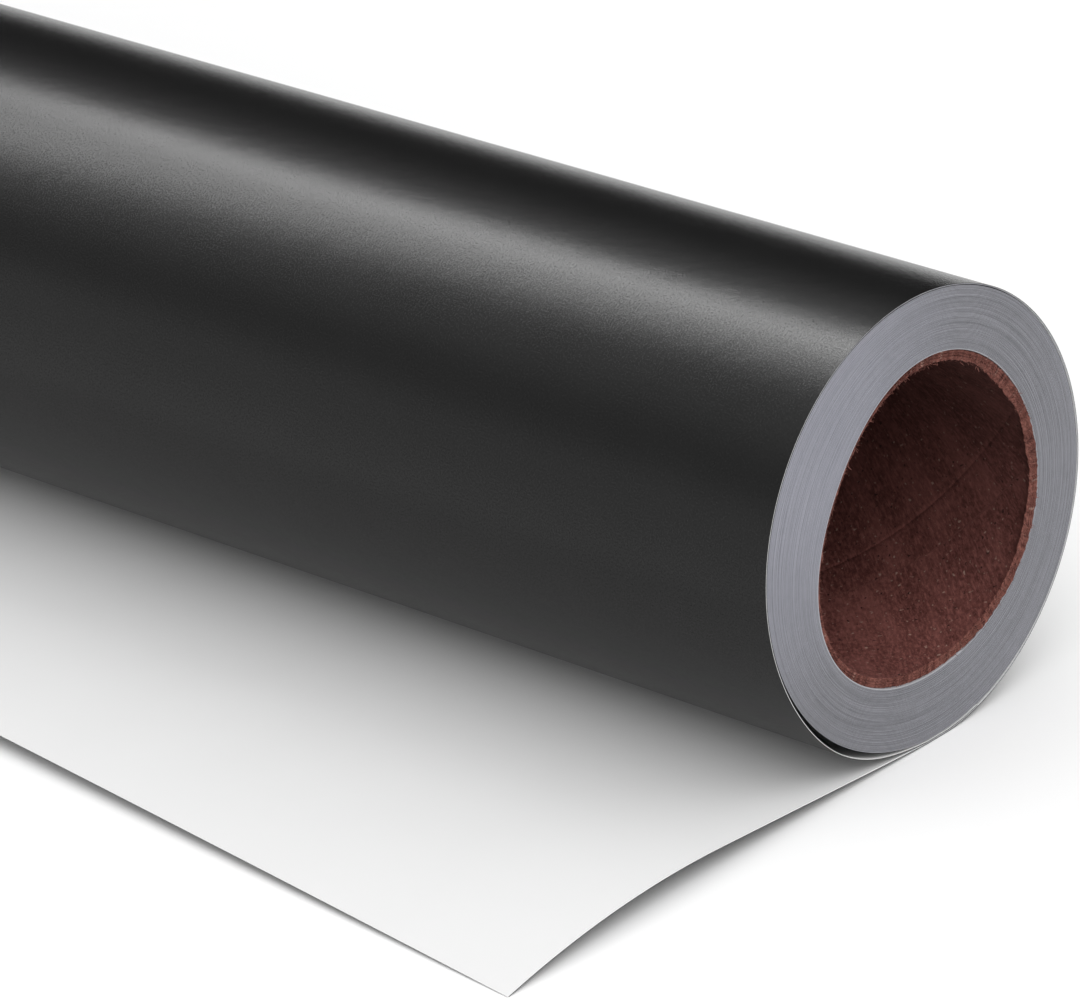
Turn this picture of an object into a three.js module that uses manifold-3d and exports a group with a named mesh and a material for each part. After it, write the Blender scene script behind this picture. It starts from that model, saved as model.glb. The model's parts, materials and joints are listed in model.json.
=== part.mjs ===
// A roll of sign vinyl: a long web of black film on a white paper liner, wound film side out on a
// paperboard core. The outermost wrap is its own piece, the turns under it are one wound pack, and the
// start of the web lies in front of the roll as a tail. Millimetres.
// X is the roll's axis, the tail lies towards -Y, and Z is up. The origin is on the surface that the
// roll rests on, under the middle of its axis.
import * as THREE from 'three';
import { mergeVertices } from 'three/addons/utils/BufferGeometryUtils.js';
import Module from 'manifold-3d';

const wasm = await Module();
wasm.setup();

// The roll
const rollWidth = 610;          // 24 inch web
const rollRadius = 58;          // outside of the outermost wrap
const restHalfAngle = 4;        // degrees: half of the flat that the roll's weight presses in its underside
const wrapStepAngle = 5.5;      // degrees between the other corners of the wrap
const wrapOverlapAngle = 19;    // degrees that the wrap runs on above its own beginning
const wrapDrop = 0.45;          // the wrap closes onto the pack by this much after the flat
const wrapDropFrom = 8;         // degrees of turn
const wrapDropTo = 60;
const slackDepth = 1.45;        // how far the wrap stands off the pack's round at the lower front
const slackFrom = 280;          // degrees of turn
const slackTo = 358;
const slackLean = 1.5;          // above 1, the slack is deepest nearer to its lower end
const packRadius = 56.7;        // the turns under the outermost wrap
const packSides = 96;

// The web
const filmThickness = 0.12;     // film with its adhesive
const linerThickness = 0.16;
const layerGap = 0.02;

// The tail
const tailReach = 152.5;         // from the roll's axis to the longest corner of the free edge
const tailStraightReach = 79;   // where the rising straight stretch bends over
const tailArcSteps = 9;
const cutSkew = 6.05;           // degrees between the free edge and the roll's axis
const liftReach = 36;           // where the tail hinges up from the surface
const peelReach = 68;           // where the liner starts to peel off the film
const splitGap = 0.5;           // between the two sides of a split

// The core, with a 3 inch bore
const boreRadius = 38.1;        // mean
const plyThickness = 0.62;
const plyGap = 0.03;
const coreRecess = 1;           // the core ends this far inside the pack's end faces
const coreShift = 1.6;          // the bore sits off the roll's axis, towards +Y
const coreSettle = 1;           // and down
const corePinch = 1.4;          // two-lobed out-of-round
const coreLobe = 1.1;           // three-lobed out-of-round
const coreSides = 72;
const packBoreClearance = 0.2;

// The tape that starts the web on the core
const tapeThickness = 0.08;
const tapeFrom = 205;           // degrees round the core
const tapeTo = 235;
const tapeMargin = 25;          // the tape stops this far from each end of the core
const tapeSteps = 8;

const axisHeight = rollRadius * Math.cos(THREE.MathUtils.degToRad(restHalfAngle));
const webThickness = filmThickness + layerGap + linerThickness;

const finishes = {
  film: { color: 0x232325, roughness: 0.42, metalness: 0 },
  liner: { color: 0xf3f3f1, roughness: 0.7, metalness: 0 },
  pack: { color: 0x8d8c93, roughness: 0.8, metalness: 0 },
  board: { color: 0x6a3a33, roughness: 0.95, metalness: 0 },
  tape: { color: 0xd8c79a, roughness: 0.6, metalness: 0 },
};

function sine(degrees) {
  return Math.sin(THREE.MathUtils.degToRad(degrees));
}

function cosine(degrees) {
  return Math.cos(THREE.MathUtils.degToRad(degrees));
}

// A station is a point on the film's outer face, with the direction from there to the liner's side.
function station(y, z, towardsY, towardsZ) {
  return { y, z, towardsY, towardsZ };
}

// Stations of the outermost wrap, from where the tail leaves it, under the roll, up behind it, over the
// top and down its front, to where it tucks in above its own beginning.
function wrapStations() {
  const flatAngle = 2 * restHalfAngle;
  const turns = [0, flatAngle];
  while (turns.at(-1) < 360 - wrapStepAngle / 2) turns.push(turns.at(-1) + wrapStepAngle);
  turns.push(360 + flatAngle, 360 + (flatAngle + wrapOverlapAngle) / 2, 360 + wrapOverlapAngle);
  return turns.map((turn) => {
    const drop = wrapDrop * THREE.MathUtils.smoothstep(turn, wrapDropFrom, wrapDropTo);
    const slackPart = THREE.MathUtils.clamp((turn - slackFrom) / (slackTo - slackFrom), 0, 1);
    const radius = rollRadius - drop + slackDepth * sine(180 * slackPart ** slackLean) ** 2;
    const angle = turn - 90 - restHalfAngle;
    return station(radius * cosine(angle), axisHeight + radius * sine(angle), -cosine(angle), -sine(angle));
  });
}

// The tail's bend: an arc that is tangent to its straight stretch and comes down to the surface.
function tailBend() {
  const leave = rollRadius * sine(restHalfAngle);
  const rise = (tailStraightReach - leave) * Math.tan(THREE.MathUtils.degToRad(restHalfAngle));
  const run = tailReach - tailStraightReach;
  const halfTurn = restHalfAngle + THREE.MathUtils.radToDeg(Math.atan2(rise, run));
  return { leave, rise, radius: Math.hypot(rise, run) / (2 * sine(halfTurn)) };
}

// A station of the tail at a distance in front of the roll's axis.
function tailStation(reach) {
  const bend = tailBend();
  if (reach <= tailStraightReach) {
    const z = (reach - bend.leave) * Math.tan(THREE.MathUtils.degToRad(restHalfAngle));
    return station(-reach, z, sine(restHalfAngle), cosine(restHalfAngle));
  }
  const lean = sine(restHalfAngle) - (reach - tailStraightReach) / bend.radius;
  const upright = Math.sqrt(1 - lean * lean);
  return station(-reach, bend.rise + bend.radius * (upright - cosine(restHalfAngle)), lean, upright);
}

function tailStations(fromReach, toReach) {
  const reaches = [fromReach];
  for (let step = 0; step <= tailArcSteps; step += 1) {
    const reach = tailStraightReach + (step / tailArcSteps) * (tailReach - tailStraightReach);
    if (reach > fromReach + splitGap && reach < toReach - splitGap) reaches.push(reach);
  }
  reaches.push(toReach);
  return reaches.map(tailStation);
}

// Turns a drawing's right, up and out into Y, Z and X, with the piece centred along X.
function alongRoll(geometry, length) {
  const turned = new THREE.Matrix4().makeBasis(
    new THREE.Vector3(0, 1, 0), new THREE.Vector3(0, 0, 1), new THREE.Vector3(1, 0, 0));
  return geometry.applyMatrix4(turned).translate(-length / 2, 0, 0);
}

function extrudeAlongRoll(shape, length) {
  return alongRoll(new THREE.ExtrudeGeometry(shape, { depth: length, bevelEnabled: false }), length);
}

// A layer of the web that follows a list of stations, between two distances from the film's outer face.
function layerGeometry(stations, low, high) {
  const lowSide = stations.map((s) => new THREE.Vector2(s.y + low * s.towardsY, s.z + low * s.towardsZ));
  const highSide = stations.map((s) => new THREE.Vector2(s.y + high * s.towardsY, s.z + high * s.towardsZ));
  return extrudeAlongRoll(new THREE.Shape([...lowSide, ...highSide.reverse()]), rollWidth);
}

function filmLayer(stations) {
  return layerGeometry(stations, 0, filmThickness);
}

function linerLayer(stations) {
  return layerGeometry(stations, filmThickness + layerGap, webThickness);
}

function toSolid(geometry) {
  const bare = geometry.clone();
  bare.deleteAttribute('normal');
  bare.deleteAttribute('uv');
  const welded = mergeVertices(bare);
  return new wasm.Manifold(new wasm.Mesh({
    numProp: 3,
    vertProperties: new Float32Array(welded.attributes.position.array),
    triVerts: new Uint32Array(welded.index.array),
  }));
}

function fromSolid(solid) {
  const mesh = solid.getMesh();
  const geometry = new THREE.BufferGeometry();
  geometry.setAttribute('position', new THREE.BufferAttribute(new Float32Array(mesh.vertProperties), 3));
  geometry.setIndex(new THREE.BufferAttribute(new Uint32Array(mesh.triVerts), 1));
  geometry.computeVertexNormals();
  return geometry;
}

// Cuts a tail layer along the free edge, which runs a little out of square across the web.
function cutFreeEdge(geometry) {
  const side = rollWidth / 2 + 5;
  const slope = Math.tan(THREE.MathUtils.degToRad(cutSkew));
  const nearY = -tailReach + (rollWidth / 2 - side) * slope;
  const farY = -tailReach + (rollWidth / 2 + side) * slope;
  const beyond = new THREE.Shape([
    new THREE.Vector2(-side, farY),
    new THREE.Vector2(-side, -2 * tailReach),
    new THREE.Vector2(side, -2 * tailReach),
    new THREE.Vector2(side, nearY),
  ]);
  const cutter = new THREE.ExtrudeGeometry(beyond, { depth: 4 * rollRadius, bevelEnabled: false });
  cutter.translate(0, 0, -2 * rollRadius);
  return fromSolid(toSolid(geometry).subtract(toSolid(cutter)));
}

// The core's outline at a mean radius, slightly out of round and off the roll's axis.
function corePoint(radius, degrees) {
  const shifted = radius + coreShift * cosine(degrees) - coreSettle * sine(degrees);
  const r = shifted + corePinch * sine(2 * degrees) - coreLobe * sine(3 * degrees);
  return new THREE.Vector2(r * cosine(degrees), axisHeight + r * sine(degrees));
}

function coreOutline(radius) {
  return Array.from({ length: coreSides }, (_, i) => corePoint(radius, (360 * i) / coreSides));
}

function tubeGeometry(innerRadius, outerRadius, length) {
  const shape = new THREE.Shape(coreOutline(outerRadius));
  shape.holes.push(new THREE.Path(coreOutline(innerRadius)));
  return extrudeAlongRoll(shape, length);
}

function packGeometry(innerRadius) {
  const corners = Array.from({ length: packSides }, (_, i) => {
    const degrees = (360 * i) / packSides;
    return new THREE.Vector2(packRadius * cosine(degrees), axisHeight + packRadius * sine(degrees));
  });
  const shape = new THREE.Shape(corners);
  shape.holes.push(new THREE.Path(coreOutline(innerRadius)));
  return extrudeAlongRoll(shape, rollWidth);
}

function tapeGeometry(innerRadius, length) {
  const stepAngle = (tapeTo - tapeFrom) / tapeSteps;
  const angles = Array.from({ length: tapeSteps + 1 }, (_, i) => tapeFrom + i * stepAngle);
  const inner = angles.map((angle) => corePoint(innerRadius, angle));
  const outer = angles.map((angle) => corePoint(innerRadius + tapeThickness, angle));
  return extrudeAlongRoll(new THREE.Shape([...outer, ...inner.reverse()]), length);
}

const group = new THREE.Group();

function add(name, geometry, finish) {
  const mesh = new THREE.Mesh(geometry, new THREE.MeshStandardMaterial(finishes[finish]));
  mesh.name = name;
  group.add(mesh);
}

function addOuterWrap() {
  const stations = [...wrapStations().reverse(), ...tailStations(0, liftReach - splitGap / 2).slice(1)];
  add('outer_wrap_film', filmLayer(stations), 'film');
  add('outer_wrap_liner', linerLayer(stations), 'liner');
}

function addTail() {
  const overrun = 1;
  const filmStations = tailStations(liftReach + splitGap / 2, tailReach + overrun);
  const linerStations = tailStations(liftReach + splitGap / 2, peelReach - splitGap / 2);
  const flapStations = tailStations(peelReach + splitGap / 2, tailReach + overrun);
  add('tail_film', cutFreeEdge(filmLayer(filmStations)), 'film');
  add('tail_liner', linerLayer(linerStations), 'liner');
  add('liner_flap', cutFreeEdge(linerLayer(flapStations)), 'liner');
}

// Three plies of board, one over the other, as spiral-wound tubes are built.
function addCore() {
  const length = rollWidth - 2 * coreRecess;
  ['core_inner_ply', 'core_body_ply', 'core_outer_ply'].forEach((name, i) => {
    const inner = boreRadius + i * (plyThickness + plyGap);
    add(name, tubeGeometry(inner, inner + plyThickness, length), 'board');
  });
}

function addPack() {
  const coreOuter = boreRadius + 3 * plyThickness + 2 * plyGap;
  add('core_start_tape', tapeGeometry(coreOuter + layerGap * 2, rollWidth - 2 * tapeMargin), 'tape');
  add('wound_pack', packGeometry(coreOuter + packBoreClearance), 'pack');
}

addOuterWrap();
addTail();
addCore();
addPack();

export default group;
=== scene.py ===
import json
import math

import bpy
import numpy as np
from mathutils import Matrix, Quaternion, Vector, noise


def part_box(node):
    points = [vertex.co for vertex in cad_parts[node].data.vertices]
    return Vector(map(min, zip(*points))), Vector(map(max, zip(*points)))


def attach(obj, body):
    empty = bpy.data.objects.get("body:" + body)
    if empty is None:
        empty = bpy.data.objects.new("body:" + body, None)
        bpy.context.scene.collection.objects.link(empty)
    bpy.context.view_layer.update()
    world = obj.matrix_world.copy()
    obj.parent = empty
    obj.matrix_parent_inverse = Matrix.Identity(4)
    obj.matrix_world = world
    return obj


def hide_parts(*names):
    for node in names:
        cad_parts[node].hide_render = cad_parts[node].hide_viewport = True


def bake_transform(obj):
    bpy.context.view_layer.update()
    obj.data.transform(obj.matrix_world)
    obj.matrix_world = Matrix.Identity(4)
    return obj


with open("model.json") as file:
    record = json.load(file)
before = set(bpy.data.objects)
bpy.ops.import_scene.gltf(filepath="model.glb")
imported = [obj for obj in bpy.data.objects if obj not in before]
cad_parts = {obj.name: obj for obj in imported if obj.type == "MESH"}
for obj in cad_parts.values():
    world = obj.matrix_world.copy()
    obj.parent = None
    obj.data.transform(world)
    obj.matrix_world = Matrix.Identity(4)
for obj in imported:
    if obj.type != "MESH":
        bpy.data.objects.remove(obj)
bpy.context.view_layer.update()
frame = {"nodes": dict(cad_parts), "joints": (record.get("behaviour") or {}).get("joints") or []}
print("frame loaded:", sorted(frame["nodes"]))

mm = 0.001
packLow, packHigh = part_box("wound_pack")
halfWidth = packHigh.x                          # half of the web's width
axisZ = (packLow.z + packHigh.z) / 2            # height of the roll's axis
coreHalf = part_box("core_outer_ply")[1].x        # half of the core's length
joints = {joint["name"]: Vector(joint["pos_m"]) for joint in frame["joints"]}


# Camera, floor and lights
cameraSet = {
    "azimuth": 44.57,
    "elevation": 25.38,
    "roll": -4.906,              # the camera leans a little, so the horizon tilts
    "aim": (0.1916, -0.0136, 0.0389),
    "distance": 1.8,
    "lens": 243.8,
}


def directionFrom(azimuth, elevation):
    a, e = math.radians(azimuth), math.radians(elevation)
    return Vector((math.sin(a) * math.cos(e), -math.cos(a) * math.cos(e), math.sin(e)))


def makeCamera(s):
    camera = bpy.data.objects.new("camera", bpy.data.cameras.new("camera"))
    bpy.context.scene.collection.objects.link(camera)
    back = directionFrom(s["azimuth"], s["elevation"])
    camera.location = Vector(s["aim"]) + back * s["distance"]
    camera.rotation_mode = "QUATERNION"
    lean = Quaternion((0, 0, 1), math.radians(s["roll"]))
    camera.rotation_quaternion = (-back).to_track_quat("-Z", "Y") @ lean
    camera.data.lens = s["lens"]
    camera.data.clip_start = 0.05
    camera.data.clip_end = 40
    bpy.context.scene.camera = camera


def makeLight(name, place, aim, along, size, power, onlyGloss=False):
    lamp = bpy.data.lights.new(name, "AREA")
    lamp.shape = "RECTANGLE"
    lamp.size, lamp.size_y = size
    lamp.energy = power
    holder = bpy.data.objects.new(name, lamp)
    bpy.context.scene.collection.objects.link(holder)
    holder.location = place
    holder.visible_diffuse = not onlyGloss
    away = (Vector(place) - Vector(aim)).normalized()
    across = Vector(along).cross(away).normalized()
    turned = Matrix((away.cross(across), -across, away)).transposed()
    holder.rotation_mode = "QUATERNION"
    holder.rotation_quaternion = turned.to_quaternion()


def addNode(tree, kind, inputs=None, **settings):
    made = tree.nodes.new(kind)
    for name, value in settings.items():
        setattr(made, name, value)
    for name, value in (inputs or {}).items():
        if isinstance(value, bpy.types.NodeSocket):
            tree.links.new(value, made.inputs[name])
        else:
            made.inputs[name].default_value = value
    return made


# A soft white surround that is dimmer low down on the far side and behind the roll.
def makeWorld(s):
    world = bpy.data.worlds.new("studio")
    world.use_nodes = True
    tree = world.node_tree
    towards = addNode(tree, "ShaderNodeTexCoord").outputs["Generated"]
    axes = addNode(tree, "ShaderNodeSeparateXYZ", {"Vector": towards})

    def ramp(axis, low, high, start, end):
        inputs = {"Value": axes.outputs[axis], "From Min": low, "From Max": high,
                  "To Min": start, "To Max": end}
        ramped = addNode(tree, "ShaderNodeMapRange", inputs, interpolation_type="SMOOTHSTEP")
        return ramped.outputs["Result"]

    def combine(operation, first, second):
        return addNode(tree, "ShaderNodeMath", {0: first, 1: second}, operation=operation).outputs["Value"]

    def times(first, second):
        return combine("MULTIPLY", first, second)

    behind = ramp("Y", 0.0, 0.45, 0.0, 1.0)
    low = ramp("Z", 0.5, 0.72, s["behind"], 0.0)
    band = times(times(ramp("Z", 0.1, 0.35, 0.0, s["band"]), ramp("Z", 0.45, 0.65, 1.0, 0.0)),
                 ramp("Y", 0.0, 0.45, 1.0, 0.0))
    dim = times(combine("ADD", times(behind, low), band), ramp("X", -0.4, 0.0, 1.0, 0.0))
    rest = combine("SUBTRACT", 1.0, dim)
    front = times(ramp("Y", -0.45, 0.0, s["front"], 0.0), ramp("Z", 0.3, 0.7, 1.0, 0.0))
    front = times(front, ramp("X", 0.0, 0.35, 0.0, 1.0))
    rest = combine("ADD", rest, front)
    background = tree.nodes["Background"]
    background.inputs["Color"].default_value = (1, 1, 1, 1)
    tree.links.new(times(rest, s["brightness"]), background.inputs["Strength"])
    bpy.context.scene.world = world


def makeFloor():
    side = 9.0
    mesh = bpy.data.meshes.new("floor")
    corners = [(-side, -side), (side, -side), (side, side), (-side, side)]
    mesh.from_pydata([(x, y, -0.1 * mm) for x, y in corners], [], [(0, 1, 2, 3)])
    floor = bpy.data.objects.new("floor", mesh)
    bpy.context.scene.collection.objects.link(floor)
    finish = bpy.data.materials.new("floorPaint")
    finish.use_nodes = True
    shader = finish.node_tree.nodes["Principled BSDF"]
    shader.inputs["Base Color"].default_value = (0.96, 0.96, 0.96, 1)
    shader.inputs["Roughness"].default_value = 0.9
    shader.inputs["Specular IOR Level"].default_value = 0.1
    mesh.materials.append(finish)


makeCamera(cameraSet)
makeWorld({"brightness": 1.06, "behind": 0.97, "band": 0.55, "front": 0.7})
makeFloor()
makeLight("key", (1.1, -0.1, 1.2), (0.25, 0, 0.03), (0, 1, 0), (1.6, 1.0), 6)
makeLight("strip", (-0.33, 0.235, 0.95), (0.02, 0, 0.06), (1, 0, 0), (0.95, 0.15), 4.2, onlyGloss=True)
makeLight("skirt", (-0.72, -0.03, 0.95), (0.02, 0, 0.06), (1, 0.4, 0), (1.3, 0.36), 10.0, onlyGloss=True)
bpy.context.scene.view_settings.view_transform = "Standard"
print("camera, floor and lights made")


# Makes one closed mesh of the given faces, with its finishes and its own unwrapping.
def makePiece(name, vertices, faces, finishes, faceFinish=None, uv=None, smooth=True):
    mesh = bpy.data.meshes.new(name)
    mesh.from_pydata(np.asarray(vertices).tolist(), [], np.asarray(faces).tolist())
    for finish in finishes:
        mesh.materials.append(finish)
    if faceFinish is not None:
        mesh.polygons.foreach_set("material_index", np.asarray(faceFinish, np.int32))
    if uv is not None:
        corner = np.empty(len(mesh.loops), np.int32)
        mesh.loops.foreach_get("vertex_index", corner)
        layer = mesh.uv_layers.new(name="web")
        layer.data.foreach_set("uv", np.asarray(uv, np.float32)[corner].ravel())
    mesh.polygons.foreach_set("use_smooth", np.full(len(mesh.polygons), smooth))
    mesh.update()
    piece = bpy.data.objects.new(name, mesh)
    bpy.context.scene.collection.objects.link(piece)
    return piece


# Makes every edge of the chosen four-sided faces sharp.
def creases(mesh, chosen):
    edgeOf = np.empty(len(mesh.loops), np.int32)
    mesh.loops.foreach_get("edge_index", edgeOf)
    sharp = np.zeros(len(mesh.edges), bool)
    sharp[edgeOf.reshape(-1, 4)[chosen].ravel()] = True
    mesh.edges.foreach_set("use_edge_sharp", sharp)
    mesh.update()


# The web's path, the outermost wrap and the tail, as the CAD has them
web = {
    "radius": 58.0 * mm,            # outside of the outermost wrap
    "flatHalf": 4.0,                # degrees: half of the flat under the roll
    "overlap": 19.0,                # degrees the wrap runs on above its own beginning
    "drop": 0.45 * mm,
    "dropFrom": 8.0,
    "dropTo": 60.0,
    "slack": 1.45 * mm,             # the wrap stands off at the lower front
    "slackFrom": 280.0,
    "slackTo": 358.0,
    "slackLean": 1.5,
    "film": 0.12 * mm,
    "liner": 0.16 * mm,
    "gap": 0.02 * mm,
    "straightReach": 79.0 * mm,
    "reach": 152.5 * mm,
    "skew": 6.05,                   # degrees the free edge is out of square
    "peelGap": 0.002 * mm,
    "overhang": 0.3 * mm,           # the liner reaches this far past the film at the free edge
    "ripple": 0.05 * mm,            # how far the wrap's surface wanders
    "columns": 76,
    "wrapStep": 2.0,                # degrees
    "tailRows": 54,
}
columnX = np.linspace(-halfWidth, halfWidth, web["columns"] + 1)
flatHalf = math.radians(web["flatHalf"])
leave = web["radius"] * math.sin(flatHalf)      # where the tail leaves the floor under the roll


def smoothstep(value, low, high):
    t = np.clip((value - low) / (high - low), 0, 1)
    return t * t * (3 - 2 * t)


def wrapRadius(turn):
    drop = web["drop"] * smoothstep(turn, web["dropFrom"], web["dropTo"])
    part = np.clip((turn - web["slackFrom"]) / (web["slackTo"] - web["slackFrom"]), 0, 1)
    radius = web["radius"] - drop + web["slack"] * np.sin(np.pi * part ** web["slackLean"]) ** 2
    fromFlat = (turn + web["flatHalf"]) % 360 - 2 * web["flatHalf"]      # the roll's weight rests here
    if abs(fromFlat) < web["flatHalf"]:
        radius *= math.cos(flatHalf) / math.cos(math.radians(fromFlat))
    return radius


def rippleAt(turn, x):
    calm = smoothstep(turn, 10, 40) * (1 - smoothstep(turn, 330, 356))
    angle = math.radians(turn)
    place = Vector((x * 16, 2.2 * math.cos(angle), 2.2 * math.sin(angle)))
    fine = Vector((x * 55, 6 * math.cos(angle), 6 * math.sin(angle)))
    return web["ripple"] * calm * (1 + noise.noise(place) + 0.35 * noise.noise(fine))


def wrapRows():
    flat = 2 * web["flatHalf"]
    turns = [0, flat / 4, flat / 2, 3 * flat / 4, flat]
    turns += list(np.arange(flat + web["wrapStep"], 360, web["wrapStep"]))
    turns += [360, 360 + flat / 2, 360 + flat, 360 + (flat + web["overlap"]) / 2, 360 + web["overlap"]]
    rows = []
    for turn in reversed(turns):
        angle = math.radians(turn - 90 - web["flatHalf"])
        radius = np.array([wrapRadius(turn) + rippleAt(turn, x) for x in columnX])
        place = np.stack([columnX, radius * math.cos(angle), axisZ + radius * math.sin(angle)], 1)
        towards = np.tile([0, -math.cos(angle), -math.sin(angle)], (len(columnX), 1))
        rows.append((place, towards, np.full(len(columnX), -math.radians(turn) * web["radius"])))
    return rows


def tailHeight(reach):
    slope = math.tan(flatHalf)
    rise = (web["straightReach"] - leave) * slope
    run = web["reach"] - web["straightReach"]
    halfTurn = flatHalf + math.atan2(rise, run)
    bend = math.hypot(rise, run) / (2 * math.sin(halfTurn))
    beyond = np.maximum(reach - web["straightReach"], 0)
    lean = math.sin(flatHalf) - beyond / bend
    upright = np.sqrt(1 - lean * lean)
    straight = (np.minimum(reach, web["straightReach"]) - leave) * slope
    height = straight + bend * (upright - math.cos(flatHalf)) * (beyond > 0)
    return height, lean, upright


def freeEdge(x):
    return web["reach"] - (halfWidth - x) * math.tan(math.radians(web["skew"]))


def tailRows(fromReach, toReach, count):
    rows = []
    for part in np.linspace(0, 1, count + 1):
        reach = fromReach + part * (toReach - fromReach) + 0 * columnX
        height, lean, upright = tailHeight(reach)
        place = np.stack([columnX, -reach, height], 1)
        rows.append((place, np.stack([0 * lean, lean, upright], 1), reach))
    return rows


# A closed sheet between two distances from the film's outer face, over rows of the web's path.
def makeSheet(name, rows, low, high, finishes):
    place = np.array([row[0] for row in rows])
    towards = np.array([row[1] for row in rows])
    along = np.array([row[2] for row in rows])
    rowCount, columnCount = along.shape
    outer = place + low * towards
    inner = place + high * towards
    index = np.arange(rowCount * columnCount).reshape(rowCount, columnCount)
    total = index.size

    def quads(a, b, c, d):
        return np.stack([a.ravel(), b.ravel(), c.ravel(), d.ravel()], 1)

    under = quads(index[:-1, :-1], index[1:, :-1], index[1:, 1:], index[:-1, 1:])
    over = under[:, ::-1] + total
    firstEdge = quads(index[0, :-1], index[0, 1:], index[0, 1:] + total, index[0, :-1] + total)
    lastEdge = quads(index[-1, 1:], index[-1, :-1], index[-1, :-1] + total, index[-1, 1:] + total)
    farSide = quads(index[1:, 0], index[:-1, 0], index[:-1, 0] + total, index[1:, 0] + total)
    nearSide = quads(index[:-1, -1], index[1:, -1], index[1:, -1] + total, index[:-1, -1] + total)
    edges = np.concatenate([firstEdge, lastEdge, farSide, nearSide])
    faces = np.concatenate([under, over, edges])
    kinds = np.concatenate([np.zeros(len(under)), np.ones(len(over)), np.full(len(edges), 2)])
    vertices = np.concatenate([outer.reshape(-1, 3), inner.reshape(-1, 3)])
    across = np.tile(columnX, (rowCount, 1))
    uv = np.stack([np.concatenate([across.ravel()] * 2), np.concatenate([along.ravel()] * 2)], 1)
    piece = makePiece(name, vertices, faces, finishes, kinds, uv)
    creases(piece.data, kinds > 1)
    return piece


# Finishes of the web
def startFinish(name, colour, roughness, specular=0.5):
    finish = bpy.data.materials.new(name)
    finish.use_nodes = True
    tree = finish.node_tree
    shader = tree.nodes["Principled BSDF"]
    shader.inputs["Base Color"].default_value = (*colour, 1)
    shader.inputs["Roughness"].default_value = roughness
    shader.inputs["Specular IOR Level"].default_value = specular
    return finish, tree, shader


def webCoordinates(tree, scale):
    uv = addNode(tree, "ShaderNodeUVMap", uv_map="web")
    mapped = addNode(tree, "ShaderNodeMapping", {"Vector": uv.outputs["UV"], "Scale": scale})
    return mapped.outputs["Vector"]


def noiseValue(tree, vector, scale, detail=2.0, rough=0.5):
    return addNode(tree, "ShaderNodeTexNoise", {
        "Vector": vector, "Scale": scale, "Detail": detail, "Roughness": rough}).outputs["Fac"]


def mapTo(tree, value, low, high, fromLow=0.3, fromHigh=0.7):
    return addNode(tree, "ShaderNodeMapRange", {
        "Value": value, "From Min": fromLow, "From Max": fromHigh, "To Min": low, "To Max": high,
    }).outputs["Result"]


def mixColours(tree, factor, first, second):
    mix = addNode(tree, "ShaderNodeMix", data_type="RGBA")
    for socket, value in ((mix.inputs[0], factor), (mix.inputs[6], first), (mix.inputs[7], second)):
        if isinstance(value, bpy.types.NodeSocket):
            tree.links.new(value, socket)
        else:
            socket.default_value = value if isinstance(value, float) else (*value, 1)
    return mix.outputs[2]


def addBump(tree, shader, height, distance, strength=1.0, under=None):
    inputs = {"Height": height, "Distance": distance, "Strength": strength}
    if under is not None:
        inputs["Normal"] = under
    bump = addNode(tree, "ShaderNodeBump", inputs)
    tree.links.new(bump.outputs["Normal"], shader.inputs["Normal"])
    return bump.outputs["Normal"]


def satinFilm():
    finish, tree, shader = startFinish("satinFilm", (0.008, 0.008, 0.008), 0.25, 0.18)
    uv = webCoordinates(tree, (1, 1, 1))
    grain = noiseValue(tree, uv, 1900, 3, 0.75)
    cloud = noiseValue(tree, uv, 45, 3)
    tree.links.new(mapTo(tree, grain, 0.17, 0.27), shader.inputs["Roughness"])
    sand = noiseValue(tree, uv, 2100, 2, 0.8)
    tree.links.new(mapTo(tree, sand, 0.1, 0.27), shader.inputs["Specular IOR Level"])
    tree.links.new(mixColours(tree, cloud, (0.007, 0.007, 0.007), (0.0095, 0.0095, 0.0095)),
                   shader.inputs["Base Color"])
    wave = addBump(tree, shader, noiseValue(tree, uv, 120, 2), 0.05 * mm)
    coarse = addBump(tree, shader, noiseValue(tree, uv, 420, 3), 0.03 * mm, 1.0, wave)
    addBump(tree, shader, grain, 0.036 * mm, 1.0, coarse)
    return finish


def adhesiveFace():
    finish, tree, shader = startFinish("adhesiveFace", (0.09, 0.09, 0.095), 0.3)
    uv = webCoordinates(tree, (1, 1, 1))
    tree.links.new(mapTo(tree, noiseValue(tree, uv, 900, 3), 0.22, 0.42), shader.inputs["Roughness"])
    addBump(tree, shader, noiseValue(tree, uv, 1400, 2), 0.01 * mm)
    return finish


def linerPaper():
    finish, tree, shader = startFinish("linerPaper", (0.86, 0.86, 0.855), 0.6, 0.12)
    uv = webCoordinates(tree, (1, 1, 1))
    cloud = noiseValue(tree, uv, 30, 4)
    fibre = noiseValue(tree, webCoordinates(tree, (1, 0.35, 1)), 1500, 4, 0.6)
    tree.links.new(mixColours(tree, cloud, (0.745, 0.745, 0.745), (0.775, 0.775, 0.775)),
                   shader.inputs["Base Color"])
    tree.links.new(mapTo(tree, fibre, 0.55, 0.7), shader.inputs["Roughness"])
    addBump(tree, shader, fibre, 0.01 * mm)
    return finish


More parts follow.
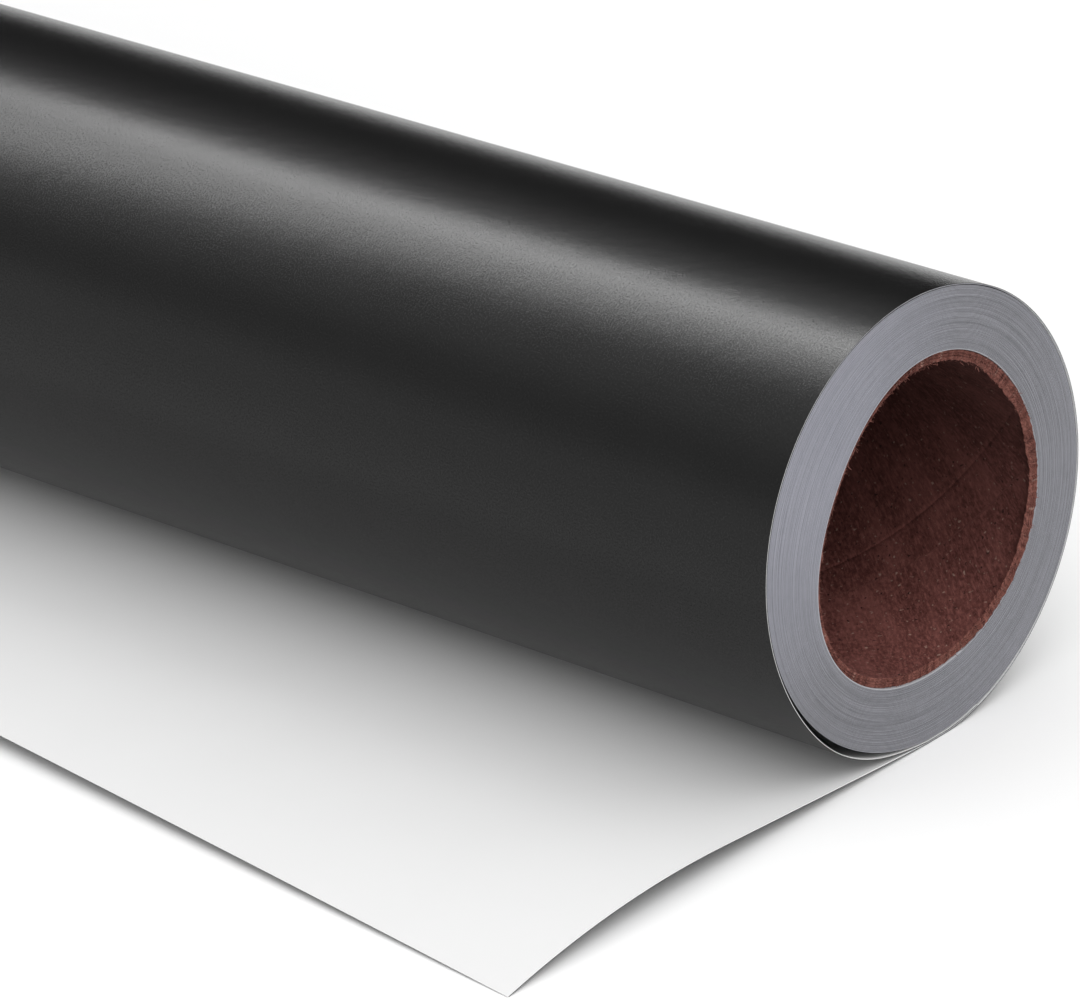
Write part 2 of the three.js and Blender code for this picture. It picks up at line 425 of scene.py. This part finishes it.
# The liner's cut edge is grey like the wound edges, with a painted highlight making it paler where the wrap
# stands off, and white along the tail.
def looseEdge():
    finish, tree, shader = startFinish("looseEdge", (0.5, 0.5, 0.52), 0.6, 0.1)
    uv = addNode(tree, "ShaderNodeUVMap", uv_map="web").outputs["UV"]
    along = addNode(tree, "ShaderNodeSeparateXYZ", {"Vector": uv}).outputs["Y"]
    # Painted highlight: the edge is painted paler where the wrap stands off.
    looseHighlight = mapTo(tree, along, 1.0, 0.0, -0.25, -0.2)
    tone = mixColours(tree, noiseValue(tree, uv, 700, 2), (0.2, 0.2, 0.22), (0.34, 0.34, 0.36))
    tail = mapTo(tree, along, 0.0, 1.0, 0.0, 0.02)
    tone = mixColours(tree, looseHighlight, tone, (0.5, 0.5, 0.5))
    tone = mixColours(tree, tail, tone, (0.82, 0.82, 0.82))
    tree.links.new(tone, shader.inputs["Base Color"])
    return finish


finishes = {
    "film": satinFilm(),
    "adhesive": adhesiveFace(),
    "liner": linerPaper(),
    "looseEdge": looseEdge(),
}


# The outermost wrap and the tail are three sheets: the film, the liner and the flap of liner that peels.
def makeWrapAndTail():
    wrap = wrapRows()
    filmTail = tailRows(leave, freeEdge(columnX), web["tailRows"])[1:]
    linerLow = web["film"] + web["gap"]
    linerHigh = linerLow + web["liner"]
    peelReach = linerHigh * math.sin(flatHalf) - joints["liner_peel"].y      # the joint is on the upper face
    linerTail = tailRows(leave, peelReach - web["peelGap"], web["tailRows"] // 2)[1:]
    flapEnd = freeEdge(columnX) + web["overhang"]
    flapTail = tailRows(peelReach + web["peelGap"], flapEnd, web["tailRows"] // 2)
    film = makeSheet("vinyl_film", wrap + filmTail, 0, web["film"],
                     [finishes["film"], finishes["adhesive"], finishes["film"]])
    liner = makeSheet("release_liner", wrap + linerTail, linerLow, linerHigh,
                      [finishes["liner"], finishes["liner"], finishes["looseEdge"]])
    flap = makeSheet("peel_flap", flapTail, linerLow, linerHigh, [finishes["liner"]] * 3)
    for sheet in (film, liner):
        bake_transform(sheet)
    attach(flap, "peeled_liner")
    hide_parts("outer_wrap_film", "tail_film")
    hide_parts("outer_wrap_liner", "tail_liner")
    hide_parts("liner_flap")


makeWrapAndTail()
print("outermost wrap and tail made")


# Finishes of the wound edge and the core
def edgeFinish(name, light, dark, blotch):
    finish, tree, shader = startFinish(name, light, 0.6, 0.3)
    shape = addNode(tree, "ShaderNodeTexCoord").outputs["Object"]
    centred = addNode(tree, "ShaderNodeMapping", {
        "Vector": shape, "Location": (0, 0, -axisZ), "Scale": (0, 1, 1)})
    around = addNode(tree, "ShaderNodeVectorMath", {0: centred.outputs["Vector"]}, operation="NORMALIZE")
    turn = addNode(tree, "ShaderNodeAttribute", attribute_name="turn").outputs["Fac"]
    layer = addNode(tree, "ShaderNodeMath", {0: turn, 1: 1.7}, operation="MULTIPLY").outputs["Value"]
    stretched = addNode(tree, "ShaderNodeVectorMath", {0: around.outputs["Vector"], 1: (1, 1.1, 1.1)},
                        operation="MULTIPLY").outputs["Vector"]
    parts = addNode(tree, "ShaderNodeSeparateXYZ", {"Vector": stretched})
    streak = addNode(tree, "ShaderNodeCombineXYZ", {
        "X": layer, "Y": parts.outputs["Y"], "Z": parts.outputs["Z"]})
    lines = noiseValue(tree, streak.outputs["Vector"], 1.0, 3, 0.65)
    cloud = noiseValue(tree, shape, 38, 3)
    dust = noiseValue(tree, shape, 420, 3)
    # Painted highlight: the innermost turns, where the pack meets the bore, are painted paler.
    innermost = mapTo(tree, turn, 0.7, 0.0, 0.9, 1.6)
    tone = mixColours(tree, mapTo(tree, lines, 0.0, 1.0, 0.36, 0.64), dark, light)
    tone = mixColours(tree, mapTo(tree, cloud, 0.0, blotch), tone, dark)
    tone = mixColours(tree, mapTo(tree, dust, 0.0, 0.25), tone, light)
    tone = mixColours(tree, innermost, tone, (0.42, 0.42, 0.44))
    # Painted light: the end is painted lighter and bluer towards its front and top.
    paintedLightFrontTop = addNode(tree, "ShaderNodeVectorMath", {0: around.outputs["Vector"], 1: (0, -0.8, 0.6)},
                   operation="DOT_PRODUCT").outputs["Value"]
    tone = mixColours(tree, mapTo(tree, paintedLightFrontTop, 0.0, 0.3, 0.3, 1.0), tone, (0.31, 0.315, 0.38))
    tree.links.new(tone, shader.inputs["Base Color"])
    return finish


def boardFinish(name, base, dark, light, shade, unwrapped=True):
    finish, tree, shader = startFinish(name, base, 0.85, 0.15)
    shape = addNode(tree, "ShaderNodeTexCoord").outputs["Object"]
    uv = addNode(tree, "ShaderNodeUVMap", uv_map="web").outputs["UV"] if unwrapped else shape
    turned = addNode(tree, "ShaderNodeMapping", {"Vector": uv, "Rotation": (0, 0, math.radians(-50))})
    slanted = addNode(tree, "ShaderNodeMapping", {
        "Vector": turned.outputs["Vector"], "Scale": (1, 0.3, 1)}).outputs["Vector"]
    cloud = noiseValue(tree, uv, 60, 4, 0.6)
    mottle = noiseValue(tree, uv, 900, 4, 0.7)
    fibre = noiseValue(tree, slanted, 1300, 3, 0.7)
    broad = noiseValue(tree, slanted, 130, 3, 0.6)
    darkFleck = mapTo(tree, noiseValue(tree, uv, 700, 1), 0.0, 1.0, 0.68, 0.76)
    paleFleck = mapTo(tree, noiseValue(tree, uv, 750, 1), 0.0, 1.0, 0.67, 0.76)
    tone = mixColours(tree, mapTo(tree, cloud, 0.0, 0.5), base, dark)
    tone = mixColours(tree, mapTo(tree, mottle, 0.0, 1.0, 0.35, 0.65), tone, dark)
    tone = mixColours(tree, mapTo(tree, broad, 0.0, 0.35, 0.45, 0.65), tone, light)
    tone = mixColours(tree, mapTo(tree, fibre, 0.0, 0.7, 0.45, 0.7), tone, light)
    tone = mixColours(tree, darkFleck, tone, (0.03, 0.012, 0.011))
    tone = mixColours(tree, paleFleck, tone, (0.32, 0.2, 0.165))
    # Painted shade: the board is painted darker towards the top and the back of the core, by up to the given
    # shade.
    across = addNode(tree, "ShaderNodeVectorMath", {0: shape, 1: (0, 0.55, 0.8)},
                     operation="DOT_PRODUCT")
    paintedShade = mapTo(tree, across.outputs["Value"], 0.0, shade, 0.02, 0.075)
    tone = mixColours(tree, paintedShade, tone, (0.01, 0.003, 0.002))
    tree.links.new(tone, shader.inputs["Base Color"])
    coarse = addBump(tree, shader, mottle, 0.1 * mm)
    addBump(tree, shader, fibre, 0.06 * mm, 1.0, coarse)
    return finish


def tapeFinish():
    finish, tree, shader = startFinish("creasedTape", (0.6, 0.52, 0.36), 0.45, 0.4)
    shape = addNode(tree, "ShaderNodeTexCoord").outputs["Object"]
    crease = noiseValue(tree, shape, 500, 4, 0.6)
    tone = mixColours(tree, crease, (0.5, 0.42, 0.27), (0.68, 0.6, 0.43))
    tree.links.new(tone, shader.inputs["Base Color"])
    addBump(tree, shader, crease, 0.05 * mm)
    return finish


finishes["filmEdge"] = edgeFinish("filmEdge", (0.082, 0.082, 0.088), (0.038, 0.038, 0.042), 0.3)
finishes["linerEdge"] = edgeFinish("linerEdge", (0.3, 0.3, 0.33), (0.172, 0.174, 0.19), 0.35)
finishes["board"] = boardFinish("coreBoard", (0.165, 0.056, 0.047), (0.065, 0.02, 0.017),
                                (0.29, 0.11, 0.095), 0.75)
finishes["tornBoard"] = boardFinish("tornBoard", (0.17, 0.058, 0.046), (0.045, 0.014, 0.012),
                                    (0.34, 0.14, 0.11), 0.2)
finishes["fibre"] = boardFinish("frayedBoard", (0.2, 0.07, 0.056), (0.07, 0.024, 0.02),
                                (0.42, 0.19, 0.155), 0.2, unwrapped=False)
tape = frame["nodes"]["core_start_tape"].data.materials
tape.clear()
tape.append(tapeFinish())


# The wound pack is one web, wound as a spiral, seen edge on at both ends. Its bore follows the core.
core = {
    "bore": 38.1 * mm,
    "ply": 0.62 * mm,
    "gap": 0.03 * mm,
    "shift": 1.6 * mm,
    "settle": 1.0 * mm,
    "pinch": 1.4 * mm,
    "lobe": 1.1 * mm,
    "clearance": 0.2 * mm,
}
pack = {
    "radius": 57.14 * mm,
    "turns": 59,
    "angles": 160,
    "startAngle": 285.0,
    "filmShare": 0.4,
    "riser": 0.06,
    "filmInset": 0.05 * mm,
    "inset": 0.12 * mm,
    "wander": 0.11 * mm,            # how far single layers stand out or lie back
    "drift": 0.1 * mm,              # the same for whole groups of layers
}


def ringPoint(x, radius, angle):
    return x, radius * math.cos(angle), axisZ + radius * math.sin(angle)


def coreRadius(radius, angle):
    shifted = radius + core["shift"] * np.cos(angle) - core["settle"] * np.sin(angle)
    return shifted + core["pinch"] * np.sin(2 * angle) - core["lobe"] * np.sin(3 * angle)


def packEndOffset(turn, angle):
    c, s = math.cos(angle), math.sin(angle)
    single = noise.noise(Vector((turn * 0.9, 1.3 * c, 1.3 * s + 7)))
    group = noise.noise(Vector((turn * 0.17, 0.7 * c + 3, 0.7 * s)))
    return pack["wander"] * single + pack["drift"] * group


def makePack():
    turns, count = pack["turns"], pack["angles"]
    share, riser = pack["filmShare"], pack["riser"]
    parts = np.array([0, share, share + riser, 1 - riser])      # in one layer: film, step, liner, step
    innerRadius = core["bore"] + 3 * core["ply"] + 2 * core["gap"] + core["clearance"]
    index, vertices, turnOf = {}, [], []
    for i in range(4 * turns + 1):
        for j in range(count if i >= 4 else 1):
            turn = i // 4 + parts[i % 4] - j / count
            angle = math.radians(pack["startAngle"]) + 2 * math.pi * j / count
            low = coreRadius(innerRadius, angle)
            radius = low + (pack["radius"] - low) * turn / turns
            filmRow = i % 4 in (0, 1)
            offset = packEndOffset(turn, angle) - (pack["filmInset"] if filmRow else 0) - pack["inset"]
            index[i, j] = len(vertices)
            vertices.append(ringPoint(halfWidth + offset, radius, angle))
            turnOf.append(turn)
    total = len(vertices)

    def at(i, j):
        return index[i, j] if j < count else index[i - 4, 0]

    faces, kinds = [], []
    for i in range(4, 4 * turns):
        for j in range(count):
            faces.append((at(i, j), at(i + 1, j), at(i + 1, j + 1), at(i, j + 1)))
            kinds.append(0 if i % 4 == 0 else 1)
    faces += [tuple(total + v for v in reversed(face)) for face in faces]
    kinds += kinds
    outerLoop = [at(4 * turns, j) for j in range(count)] + [at(4 * turns - 4 + k, 0) for k in range(4)]
    innerLoop = [at(4, j) for j in range(count)] + [at(k, 0) for k in range(4)]
    for loop, flip in ((outerLoop, False), (innerLoop, True)):
        for a, b in zip(loop, loop[1:] + loop[:1]):
            face = (a, a + total, b + total, b)
            faces.append(tuple(reversed(face)) if flip else face)
            kinds.append(1 if flip else 2)
    far = [(-v[0], v[1], v[2]) for v in vertices]
    place = np.array(vertices + far)
    angleOf = np.arctan2(place[:, 2] - axisZ, place[:, 1])
    uv = np.stack([place[:, 0], angleOf * pack["radius"]], 1)
    piece = makePiece("wound_web", vertices + far, faces,
                      [finishes["filmEdge"], finishes["linerEdge"], finishes["film"]], kinds, uv,
                      smooth=False)
    layer = piece.data.attributes.new("turn", "FLOAT", "POINT")
    layer.data.foreach_set("value", np.array(turnOf + turnOf, np.float32))
    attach(piece, "wound_roll")
    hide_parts("wound_pack")


makePack()
print("wound pack made")


# The core is three board plies, the inner one with its helical seam.
ply = {
    "angles": 360,
    "tiltAngle": -15.0,             # where the core's end comes nearest to the pack's end
    "recess": 0.9 * mm,
    "tilt": 0.9 * mm,
    "tear": 0.55 * mm,
    "burr": 1.9 * mm,
    "burrAngle": 15.0,
    "flare": 0.24 * mm,             # the outermost ply's end is pressed out against the pack
    "seamTurns": 3,                 # turns of the inner ply's helical seam over the core's length
    "seamAngle": 24.0,              # where the seam reaches the near end
    "seamDepth": 0.22 * mm,
    "rowStep": 3.2 * mm,
    "unevenness": 0.12 * mm,
}


def rimRecess(angle, side):
    turned = angle if side > 0 else math.pi - angle
    return ply["recess"] - ply["tilt"] * math.cos(turned - math.radians(ply["tiltAngle"]))


def tearAt(angle, part, side):
    c, s = math.cos(angle), math.sin(angle)
    rough = noise.noise(Vector((9 * c, 9 * s, 5 * part + 11 * side)))
    fine = noise.noise(Vector((44 * c, 44 * s, 12 * part + 5 * side)))
    return ply["tear"] * (0.45 * rough + 0.75 * fine)


# Rows of one ply's outline: along the bore to the near end, over the rim, back outside, over the far rim.
def plyProfile(helical):
    near = [0.25, 0.6, 1.2, 2.2]
    length = 2 * coreHalf / mm
    middle = [length / 2]
    if helical:
        middle = list(np.linspace(4, length - 4, int((length - 8) * mm / ply["rowStep"])))
    rows = [(-1, depth * mm, 0.0) for depth in near]
    rows += [(-1, depth * mm, 0.0) for depth in middle]
    rows += [(1, depth * mm, 0.0) for depth in near[::-1]]
    rows += [(1, 0.0, part) for part in (0.03, 0.18, 0.34, 0.5, 0.66, 0.82, 0.97)]
    rows += [(1, depth * mm, 1.0) for depth in near + [8, 40]]
    rows += [(-1, depth * mm, 1.0) for depth in [40, 8] + near[::-1]]
    rows += [(-1, 0.0, part) for part in (0.97, 0.82, 0.66, 0.5, 0.34, 0.18, 0.03)]
    return rows


def raggedness(angle, side):
    slow = noise.noise(Vector((4 * math.cos(angle), 4 * math.sin(angle), 3 * side)))
    quick = noise.noise(Vector((30 * math.cos(angle), 30 * math.sin(angle), 3 * side)))
    return slow + 0.35 * quick


def makePly(name, node, inner, outer, innermost, outermost):
    rows = plyProfile(innermost)
    count = ply["angles"]
    angles = np.arange(count) * 2 * math.pi / count
    seam = round(ply["seamAngle"] / 360 * count)
    if innermost:
        besideSeam = np.array([-0.85, -0.35, 0, 0.35, 0.85]) * mm
        angles[seam - 2:seam + 3] = angles[seam] + besideSeam / core["bore"]
    vertices, uv = [], []
    for side, depth, part in rows:
        alongBore = coreHalf - depth if side > 0 else depth - coreHalf
        inBore = innermost and part == 0
        turned = (alongBore / (2 * coreHalf) - 0.5) * 2 * math.pi * ply["seamTurns"] if inBore else 0.0
        fade = math.exp(-depth / (1.5 * mm))
        for j in range(count):
            angle = angles[j] + turned
            end = coreHalf + 1.0 * mm - rimRecess(angle, side) + tearAt(angle, part, side) * fade
            radius = coreRadius(inner + part * (outer - inner), angle)
            if innermost and part < 0.7:
                lean = max(0.0, math.cos(angle - math.radians(ply["burrAngle"]))) ** 1.3
                ragged = 0.7 + 0.9 * raggedness(angle, side)
                burr = ply["burr"] * max(0.12, lean * ragged)
                radius -= burr * math.exp(-depth / (1.1 * mm)) * (1 - part)
            if outermost and part > 0.4:
                radius += ply["flare"] * math.exp(-depth / (2 * mm)) * min(1, 2 * part - 0.8)
            if inBore:
                if abs(j - seam) < 2:
                    radius += ply["seamDepth"] * (1 - 0.5 * abs(j - seam))
                place = Vector((alongBore * 45, 7 * math.cos(angle), 7 * math.sin(angle)))
                radius += ply["unevenness"] * noise.noise(place)
            vertices.append(ringPoint(side * (end - depth), radius, angle))
            uv.append((side * (end - depth) + (radius - inner), angle * core["bore"]))
    index = np.arange(len(vertices)).reshape(len(rows), count)
    nextRow, nextAngle = np.roll(index, -1, 0), np.roll(index, -1, 1)
    faces = np.stack([index, nextRow, np.roll(nextRow, -1, 1), nextAngle], 2).reshape(-1, 4)
    torn = np.array([part not in (0.0, 1.0) or depth < 0.5 * mm for side, depth, part in rows])
    kinds = np.repeat(torn.astype(int), count)
    piece = makePiece(name, vertices, faces, [finishes["board"], finishes["tornBoard"]], kinds, uv)
    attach(piece, "wound_roll")
    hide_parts(node)


def makeCore():
    step = core["ply"] + core["gap"]
    for place, name in enumerate(("inner_ply", "body_ply", "outer_ply")):
        inner = core["bore"] + place * step
        makePly(name, "core_" + name, inner, inner + core["ply"], place == 0, place == 2)


# Frayed fibres on the core's torn ends
fray = {
    "perSquareMetre": 2600000.0,
    "length": 0.85 * mm,
    "thickness": 0.07 * mm,
    "tip": 0.025 * mm,
    "seed": 7,
}


def makeEmitter():
    count = 180
    inner, outer = core["bore"] - 0.4 * mm, core["bore"] + 3 * core["ply"] + 2 * core["gap"]
    vertices, faces = [], []
    for side in (1, -1):
        base = len(vertices)
        for j in range(count):
            angle = 2 * math.pi * j / count
            end = coreHalf + 0.9 * mm - rimRecess(angle, side)
            lean = max(0.0, math.cos(angle - math.radians(ply["burrAngle"])))
            for radius in (coreRadius(inner, angle) - 0.8 * mm * lean, coreRadius(outer, angle)):
                vertices.append(ringPoint(side * end, radius, angle))
        for j in range(count):
            a, b = base + 2 * j, base + 2 * ((j + 1) % count)
            face = (a, a + 1, b + 1, b)
            faces.append(face if side > 0 else face[::-1])
    return makePiece("fray_emitter", vertices, faces, [])


def frayTree(finish):
    tree = bpy.data.node_groups.new("frayedFibres", "GeometryNodeTree")
    sockets = {"Geometry": "Geometry", "Density": "Float", "Length": "Float", "Thickness": "Float",
               "Seed": "Int"}
    for name, kind in sockets.items():
        tree.interface.new_socket(name, in_out="INPUT", socket_type="NodeSocket" + kind)
    tree.interface.new_socket("Geometry", in_out="OUTPUT", socket_type="NodeSocketGeometry")
    given = tree.nodes.new("NodeGroupInput")
    result = tree.nodes.new("NodeGroupOutput")
    scatter = addNode(tree, "GeometryNodeDistributePointsOnFaces", {
        "Mesh": given.outputs["Geometry"], "Density": given.outputs["Density"],
        "Seed": given.outputs["Seed"]})
    fibre = addNode(tree, "GeometryNodeMeshCone", {
        "Vertices": 4, "Side Segments": 2, "Radius Top": fray["tip"],
        "Radius Bottom": given.outputs["Thickness"], "Depth": given.outputs["Length"]})
    lean = addNode(tree, "FunctionNodeRandomValue", {"Seed": given.outputs["Seed"]},
                   data_type="FLOAT_VECTOR")
    lean.inputs[0].default_value = (-1.25, -1.25, 0)
    lean.inputs[1].default_value = (1.25, 1.25, 6.28)
    turned = addNode(tree, "FunctionNodeRotateRotation", {
        "Rotation": scatter.outputs["Rotation"], "Rotate By": lean.outputs["Value"]},
        rotation_space="LOCAL")
    size = addNode(tree, "FunctionNodeRandomValue", {"Seed": given.outputs["Seed"]}, data_type="FLOAT")
    size.inputs[2].default_value = 0.5
    size.inputs[3].default_value = 1.5
    copies = addNode(tree, "GeometryNodeInstanceOnPoints", {
        "Points": scatter.outputs["Points"], "Instance": fibre.outputs["Mesh"],
        "Rotation": turned.outputs["Rotation"], "Scale": size.outputs[1]})
    whole = addNode(tree, "GeometryNodeRealizeInstances", {"Geometry": copies.outputs["Instances"]})
    painted = addNode(tree, "GeometryNodeSetMaterial", {
        "Geometry": whole.outputs["Geometry"], "Material": finish})
    tree.links.new(painted.outputs["Geometry"], result.inputs["Geometry"])
    return tree


def makeFray():
    piece = makeEmitter()
    modifier = piece.modifiers.new("fray", "NODES")
    modifier.node_group = frayTree(finishes["fibre"])
    values = {"Density": fray["perSquareMetre"], "Length": fray["length"], "Thickness": fray["thickness"],
              "Seed": fray["seed"]}
    for item in modifier.node_group.interface.items_tree:
        if item.in_out == "INPUT" and item.name in values:
            modifier[item.identifier] = values[item.name]
    evaluated = piece.evaluated_get(bpy.context.evaluated_depsgraph_get())
    mesh = bpy.data.meshes.new_from_object(evaluated)
    piece.modifiers.clear()
    piece.data = mesh
    piece.name = "core_fray"
    print("fibres' faces:", len(mesh.polygons))
    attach(piece, "wound_roll")


makeCore()
makeFray()
print("core made")
